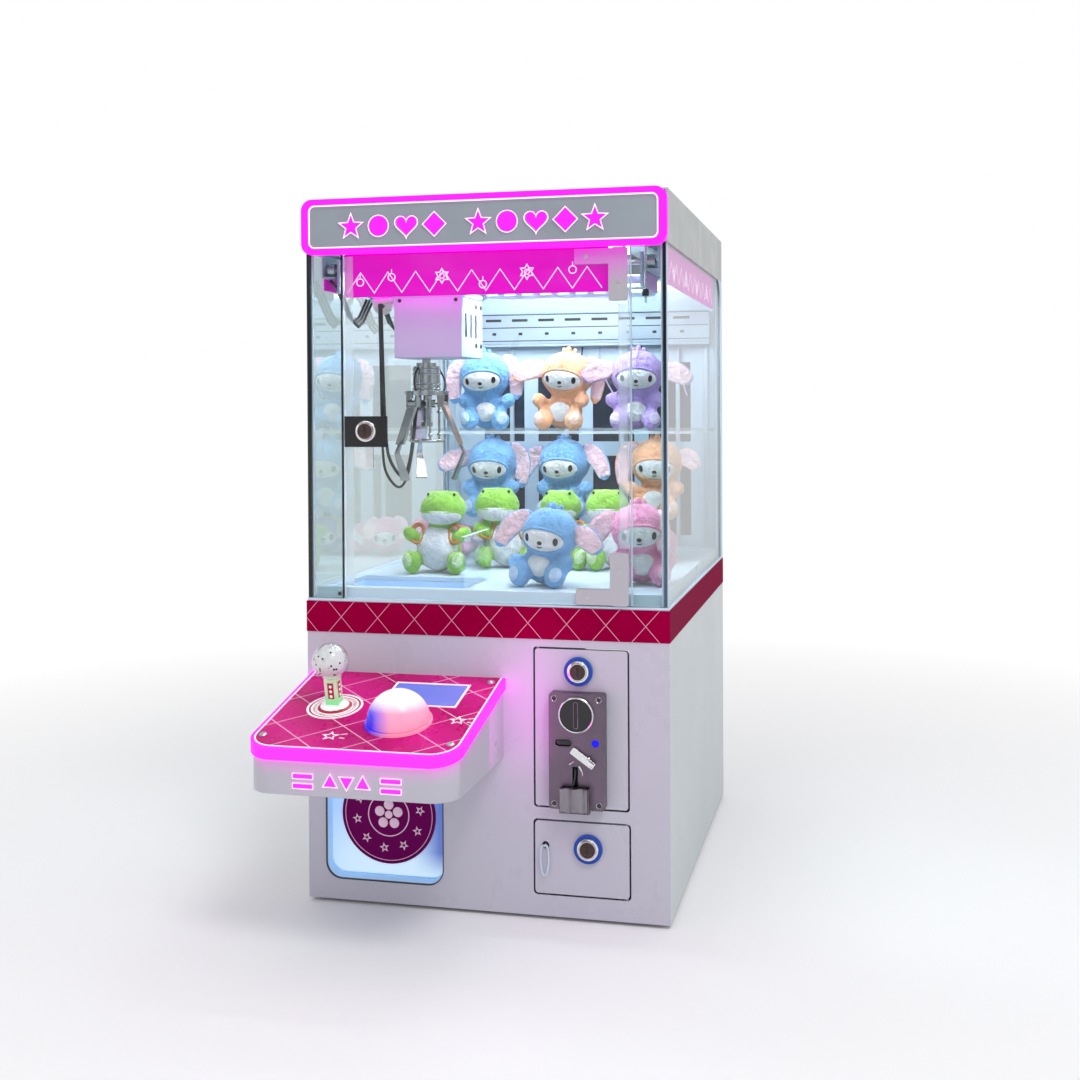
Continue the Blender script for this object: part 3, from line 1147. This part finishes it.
def plush_cover(shape, balls, seams, seed):
    """Adds a stuffed cover: the balls are joined, remeshed, relaxed, inflated and given a nap."""
    raw = Shape()
    for ball in balls:
        ball.skin(raw)
    obj = raw.make("cover", None, [])
    bake(obj, "REMESH", mode="VOXEL", voxel_size=3.6 * MM)
    bake(obj, "SMOOTH", factor=0.5, iterations=5)
    inflate(obj, seams, 1.6)
    bake(obj, "SUBSURF", levels=1)
    nap(obj, seed)
    shape.add(points_of(obj.data) / MM, [tuple(p.vertices) for p in obj.data.polygons], OWN_PILE)
    bpy.data.objects.remove(obj)


def ear(shape, side, curve, wide, seed):
    """A long floppy ear along a root, a bend and a tip: pile outside, and a pale lining that dips in the
    middle on the side that faces the player."""
    rings, count = [], 16
    root, bend, tip = [Vector(p) for p in curve]
    lean = random.Random(seed).uniform(-0.35, 0.1)
    for i in range(count + 1):
        t = i / count
        p = root * (1 - t) ** 2 + bend * 2 * t * (1 - t) + tip * t * t
        way = ((bend - root) * (1 - t) + (tip - bend) * t).normalized()
        across = way.cross(Vector((lean * side, -1, 0.12))).normalized()
        front = across.cross(way).normalized()
        if front.y > 0:
            front = -front
        half = wide * (0.34 + 0.66 * math.sin(math.pi * min(1.0, 0.12 + 0.80 * t)) ** 0.8)
        thick = 3.1 * (0.55 + 0.45 * math.sin(math.pi * (0.15 + 0.8 * t)))
        if i == count:
            half, thick = half * 0.35, thick * 0.5
        if i == 0:
            half, thick = half * 0.6, thick * 0.8
        ring = []
        for a in turn_angles(28):
            u, v = math.cos(a), math.sin(a)
            dip = 1.7 * math.exp(-(u / 0.45) ** 2) * math.sin(math.pi * t) if v > 0 else 0.0
            ring.append(p + across * half * u + front * (thick * v - dip))
        rings.append(ring)
    shape.rings(rings, lambda i, k: SECOND if 2 <= k <= 11 and 1 <= i < count - 1 else OWN_PILE)


def face_of(shape, head, aim, half):
    """A pale face panel with a rolled hem, two eyes, a nose and a smile."""
    head.patch(shape, aim, half, 0.3, CREAM, bulge=2.2)
    hem = [head.point((aim[0] + half[0] * 1.03 * math.cos(a), aim[1] + half[1] * 1.05 * math.sin(a)), 0.3)
           for a in turn_angles(40)]
    shape.tube(hem, 1.9, OWN_PILE, 8, loop=True)
    for side in (-1, 1):
        head.bead(shape, (aim[0] + side * half[0] * 0.60, aim[1] + half[1] * 0.12), (3.1, 4.7), 1.9)
    head.bead(shape, (aim[0], aim[1] - half[1] * 0.14), (3.0, 2.4), 2.4)
    smile = [head.point((aim[0] + 0.085 * s, aim[1] - half[1] * 0.46 - 0.035 * (1 - s * s)), 2.6)
             for s in (-1 + k / 4 for k in range(9))]
    shape.tube(smile, 0.6, EYE, 6)


# How an ear falls: root, bend and tip as (head radii sideways, back, up), and its width
FALLS = {
    "out": ((0.84, -2, 4), (1.45, -13, 10), (1.98, -16, -11), 14.0),
    "down": ((0.66, 3, 19), (1.42, 0, 18), (1.18, -6, -36), 12.5),
    "slope": ((0.74, 0, 16), (1.50, -6, 12), (1.72, -13, -26), 13.5),
    "pressed": ((0.82, -2, 8), (1.28, -13, 14), (1.50, -18, -6), 12.5),
    "front": ((0.56, -8, 18), (0.80, -22, 15), (0.80, -27, -30), 11.5),
}


def finish_toy(shape, m, name, own, second, slot, place):
    mats = [m[own], m[second], m["cream"], m["eye"], m[own + "_pale"]]
    return shape.make(name, "cabinet", mats, slot, matrix=place, angle=70)


def seat(at, yaw=0.0):
    return Matrix.Translation(mm(*at)) @ Matrix.Rotation(yaw, 4, "Z")


def hooded_toy(m, name, at, colour, head_r, head_z, ears, yaw, nod, lean, seed):
    """A sitting toy in a plain hood with long ears; ears names how the left and the right one fall."""
    tipped = tilt(y=lean)
    head = Ball(tipped @ Vector((0, 0, head_z)), (head_r, head_r * 0.93, head_r * 0.90), tipped)
    body = Ball((0, 4, 26), (25.8, 23, 26))
    feet = [Ball((side * 22, -22, 13), (12.5, 12.5, 14), tilt(x=-0.35, y=side * 0.35)) for side in (-1, 1)]
    hands = [Ball((side * 30, -12, head_z - 35), (10.5, 9.5, 12.5), tilt(x=-0.5, y=side * 0.8))
             for side in (-1, 1)]

    def seams(p):
        neck = np.abs(p[:, 2] - (head_z - head_r * 0.86)) < 2.2
        crown = (np.abs(p[:, 0] - head.at.x) < 1.6) & (p[:, 2] > head_z)
        flank = (np.abs(p[:, 1] - 4) < 1.6) & (p[:, 2] < head_z - head_r)
        return neck | crown | flank | (p[:, 2] < 2.0)

    shape = Shape()
    plush_cover(shape, [body, head, feet[0], hands[0], feet[1], hands[1]], seams, seed)
    for x, y, z, size in ((0, -1, 0.90, 4.2), (-6.5, 3, 0.87, 3.6), (6.5, 4, 0.86, 3.4)):
        at_tuft = head.at + tipped @ Vector((x, y, head_r * z))
        Ball(at_tuft, (size, size * 1.1, size * 1.6), tilt(y=x * 0.05)).skin(shape, OWN_PILE, 16, 12)
    s = head_r / 36
    for side, fall in zip((-1, 1), ears.split()):
        *curve, wide = FALLS[fall]
        curve = [head.at + tipped @ Vector((side * x * head_r, y * s, z * s)) for x, y, z in curve]
        ear(shape, side, curve, wide * s, seed + side)
    face_of(shape, head, (0.0, -0.30 + nod), (0.86, 0.44))
    body.patch(shape, (0.0, -0.05), (0.60, 0.52), 0.8, CREAM, bulge=1.6)
    for side, foot in zip((-1, 1), feet):
        foot.patch(shape, (side * 0.25, 0.10), (0.62, 0.66), 0.3, PALE, bulge=0.7)
    shape.tube([head.point((0.0, 0.35 + 0.09 * k), 0.35) for k in range(11)], 0.7, OWN_PILE, 6)
    return finish_toy(shape, m, name, colour, "ear", "plush_pastel", seat(at, yaw))


def lying_toy(m, name, at, colour, seed):
    """A toy that lies on its side under the others."""
    head, body = Ball((0, 0, 0), (27, 25.5, 26)), Ball((36, 4, -4.5), (22.5, 21, 22))
    limbs = [Ball((44, -14, -14), (10, 11, 9)), Ball((30, -14, 8), (10, 8, 7), tilt(z=0.5))]
    shape = Shape()
    plush_cover(shape, [head, body, *limbs], lambda p: (np.abs(p[:, 0] - 21) < 2) | (p[:, 2] < -25), seed)
    ear(shape, -1, ((-10, 2, 20), (-29, -6, 20), (-31, -20, -6)), 10.5, seed)
    ear(shape, 1, ((9, -8, 21), (19, -24, 18), (15, -30, -6)), 10.0, seed + 1)
    face_of(shape, head, (-0.25, -0.12), (0.72, 0.42))
    body.patch(shape, (0.15, 0.0), (0.55, 0.55), 0.5, CREAM, bulge=0.9)
    return finish_toy(shape, m, name, colour, "ear", "plush_pastel", seat(at))


def frog_toy(m, name, at, head_dx, head_z, head_r, yaw, seed):
    """A sitting frog: green back, limbs and crown, a pale front and jaw, and small shoulder loops."""
    body = Ball((0, 0, 30), (28.6, 25, 30))
    head = Ball((head_dx, -3, head_z), (head_r * 1.10, head_r * 0.96, head_r * 0.84))
    neck = Ball((head_dx * 0.5, 0, head_z / 2 + 21), (17, 15, 18))
    feet, hands, brows = [], [], []
    for side in (-1, 1):
        feet.append(Ball((side * 29, -26, 14), (11.5, 13.5, 15.5), tilt(x=-0.3, y=side * 0.3)))
        hands.append(Ball((side * 33, -13, 48), (14, 9.5, 9.5), tilt(y=-side * 0.5, z=side * 0.5)))
        brows.append(Ball((head_dx + side * head_r * 0.55, -5, head_z + head_r * 0.66), (6.5, 7, 5.5)))

    def seams(p):
        flank = (np.abs(p[:, 1]) < 1.5) & (p[:, 2] < head_z - head_r)
        mouth = np.abs(p[:, 2] - (head_z - 4)) < 1.3
        return flank | mouth | (p[:, 2] < 2.0)

    shape = Shape()
    limbs = [part for pair in zip(feet, hands, brows) for part in pair]
    plush_cover(shape, [body, head, neck, *limbs], seams, seed)
    body.patch(shape, (0.0, 0.14), (1.12, 1.18), 1.2, CREAM, bulge=2.0)
    head.patch(shape, (0.0, -0.52), (1.22, 0.44), 0.9, CREAM, bulge=1.8)
    lips = [head.point((-1.1 + 0.1375 * k, -0.10 - 0.07 * math.cos((k - 8) * 0.19)), 1.1) for k in range(17)]
    shape.tube(lips, 0.8, OWN_PILE, 6)
    for side, foot, brow in zip((-1, 1), feet, brows):
        brow.bead(shape, (side * 0.25, 0.0), (1.8, 2.1), 0.9)
        foot.patch(shape, (side * 0.2, 0.15), (0.62, 0.68), 0.3, PALE, bulge=0.8)
        loop = [(side * 24 + side * 8 * math.cos(a), -15 + 6 * math.sin(a), 49 + 11 * math.sin(a))
                for a in turn_angles(24)]
        shape.tube(loop, 3.2, SECOND, 8, loop=True, flat=0.6)
    return finish_toy(shape, m, name, "green", "strap", "plush_green", seat(at, yaw))


def make_toys(m):
    """All soft toys. Their places follow the CAD's plain stand-ins."""
    # name, seat, colour, head radius, head height, ears, yaw, nod, lean
    sitting = [
        ("toy_shelf_left", (-92, 85, SHELF_Z), BLUE, 36, 75, "down down", 0.05, 0.02, -0.06),
        ("toy_shelf_middle", (14, 85, SHELF_Z), PEACH, 36, 75, "out down", -0.08, 0.04, 0.08),
        ("toy_shelf_right", (114, 85, SHELF_Z), LILAC, 36, 75, "out out", 0.12, 0.06, 0.03),
        ("toy_row_left", (-84, 76, MIDDLE_Z), BLUE, 35.5, 75, "out down", 0.0, -0.06, 0.0),
        ("toy_row_middle", (21, 76, MIDDLE_Z), BLUE, 35.5, 75, "slope slope", -0.12, 0.0, -0.05),
        ("toy_row_right", (140, 76, MIDDLE_Z), PEACH, 35.5, 75, "down pressed", 0.08, 0.02, 0.04),
        ("toy_front_middle", (52, -182, DECK_Z), BLUE, 34, 61, "slope out", -0.15, 0.10, 0.14),
        ("toy_front_right", (162, -150, DECK_Z), PINK, 34, 64, "slope front", 0.14, 0.06, -0.05),
    ]
    lying = ((-165, PINK), (-73, LILAC), (19, BLUE), (111, PINK))
    # x, y, sideways place, height and radius of the head, yaw
    frogs = ((-108, -84, 6, 80, 27, 0.05), (-36, -18, -14, 80, 27, 0.1), (36, -8, -4, 79, 25, -0.1),
             (110, -12, -16, 80, 26, 0.06))
    for k, toy in enumerate(sitting):
        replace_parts(hooded_toy(m, *toy, 100 + 7 * k), "plush_hooded_toys")
    for k, (x, colour) in enumerate(lying):
        toy = lying_toy(m, f"toy_lying_{k + 1}", (x, 84, DECK_Z + 27.5), colour, 300 + 5 * k)
        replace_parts(toy, "plush_hooded_toys")
    for k, (x, y, *head, yaw) in enumerate(frogs):
        toy = frog_toy(m, f"frog_{k + 1}", (x, y, DECK_Z), *head, yaw, 500 + 3 * k)
        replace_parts(toy, "plush_frog_toys")


# ---------------------------------------------------------------- stage


def area_light(name, at, aim, size, power, colour=(1, 1, 1)):
    """A soft rectangular light at one point in metres that looks at another."""
    data = bpy.data.lights.new(name, "AREA")
    data.shape = "RECTANGLE"
    data.size, data.size_y = size
    data.energy, data.color = power, colour
    light = bpy.data.objects.new(name, data)
    light.location = at
    light.rotation_euler = (Vector(aim) - Vector(at)).to_track_quat("-Z", "Y").to_euler()
    light.visible_camera = False
    bpy.context.scene.collection.objects.link(light)


def make_sky():
    """An even white studio; mirrors see it as soft bands, as they would see screens and flags."""
    world = bpy.data.worlds.new("studio")
    world.use_nodes = True
    tree = world.node_tree
    background = tree.nodes["Background"]
    background.inputs[0].default_value = (0.97, 0.97, 1.0, 1)

    def node(kind, *values, **props):
        made = tree.nodes.new("ShaderNode" + kind)
        for key, value in props.items():
            setattr(made, key, value)
        for socket, value in zip(made.inputs, values):
            if isinstance(value, bpy.types.NodeSocket):
                tree.links.new(value, socket)
            else:
                socket.default_value = value
        return made

    rays = node("LightPath").outputs
    way = node("SeparateXYZ", node("TexCoord").outputs["Generated"]).outputs
    slant = node("Math", way["X"], way["Z"], operation="ADD").outputs[0]
    steep = node("Math", slant, 7.0, operation="MULTIPLY").outputs[0]
    wave = node("Math", steep, operation="SINE").outputs[0]
    bands = node("MapRange", wave, -0.5, 0.5, 0.22, 1.0, interpolation_type="SMOOTHSTEP").outputs[0]
    glossy = node("MapRange", rays["Is Glossy Ray"], 0.0, 1.0, 0.64, bands).outputs[0]
    seen = node("MapRange", rays["Is Camera Ray"], 0.0, 1.0, glossy, 1.03).outputs[0]
    tree.links.new(seen, background.inputs[1])
    bpy.context.scene.world = world


def make_floor():
    """A pale floor just under the feet that fades to white away from the machine."""
    mesh = bpy.data.meshes.new("floor")
    half, under_feet = 30.0, -4.1 * MM
    mesh.from_pydata([(x, y, under_feet) for x, y in corner_points((0, 0), half, half)], [], [(0, 1, 2, 3)])
    g = Graph("pale_floor")
    tone = g.mix(g.noise(0.8), (0.94, 0.94, 0.945), (0.97, 0.97, 0.97))
    matt = {"Base Color": tone, "Roughness": 0.8, "Specular IOR Level": 0.1}
    near = g.add("BsdfPrincipled", matt).outputs[0]
    far = g.add("Emission", {"Color": (1, 1, 1)}).outputs[0]
    reach = g.add("VectorMath", {0: g.at}, operation="LENGTH").outputs["Value"]
    away = g.spread(reach, 0.0, 1.0, 0.35, 1.6)
    mesh.materials.append(g.finish(g.add("MixShader", {0: away, 1: near, 2: far}).outputs[0]))
    floor = bpy.data.objects.new("floor", mesh)
    bpy.context.scene.collection.objects.link(floor)


def make_camera():
    """The camera at the photograph's angle. Its lens is shifted, so that upright edges stay upright."""
    yaw, pitch, roll = -0.2280, -0.0102, -0.0051
    ahead = Vector((math.sin(yaw) * math.cos(pitch), math.cos(yaw) * math.cos(pitch), math.sin(pitch)))
    right = Vector((math.cos(yaw), -math.sin(yaw), 0))
    up = right.cross(ahead)
    right, up = (right * math.cos(roll) + up * math.sin(roll), up * math.cos(roll) - right * math.sin(roll))
    data = bpy.data.cameras.new("camera")
    data.lens = 1.2614 * data.sensor_width
    data.shift_x, data.shift_y = -0.0201, -0.1142
    camera = bpy.data.objects.new("camera", data)
    turn = Matrix((right, up, -ahead)).transposed().to_4x4()
    camera.matrix_world = Matrix.Translation((0.4304, -1.7198, 0.5682)) @ turn
    bpy.context.scene.collection.objects.link(camera)
    bpy.context.scene.camera = camera
    bpy.context.scene.view_settings.view_transform = "Standard"


def make_stage():
    """Pale floor, soft studio light, the lamps inside the machine, and the camera."""
    make_floor()
    make_sky()
    area_light("key", (1.3, -1.7, 2.7), (0, 0, 0.35), (0.9, 0.9), 27)
    area_light("fill", (-2.0, -2.3, 1.6), (0, 0, 0.4), (1.8, 1.8), 3)
    area_light("top", (0, 0.2, 2.6), (0, 0, 0), (2.0, 2.0), 5)
    area_light("chamber_front", (0, -0.20, 0.734), (0, -0.10, 0.4), (0.34, 0.03), 2.0, COOL_LIGHT)
    area_light("chamber_back", (0, 0.02, 0.738), (0, 0.07, 0.4), (0.34, 0.10), 1.5, COOL_LIGHT)
    area_light("rim_spill", (0.046, -0.325, 0.235), (0.062, -0.26, 0.235), (0.03, 0.13), 0.03,
               (1.0, 0.08, 0.85))
    make_camera()


def main():
    m = make_materials()
    finish_cad_nodes(m)
    for details in (header_details, valance_details, glass_details, chamber_details, crane_details,
                    desk_details, joystick_details, desk_lamp_details, lock_details, coin_details,
                    return_details, pull_details, flap_details, service_details, make_toys):
        details(m)
    make_stage()


main()
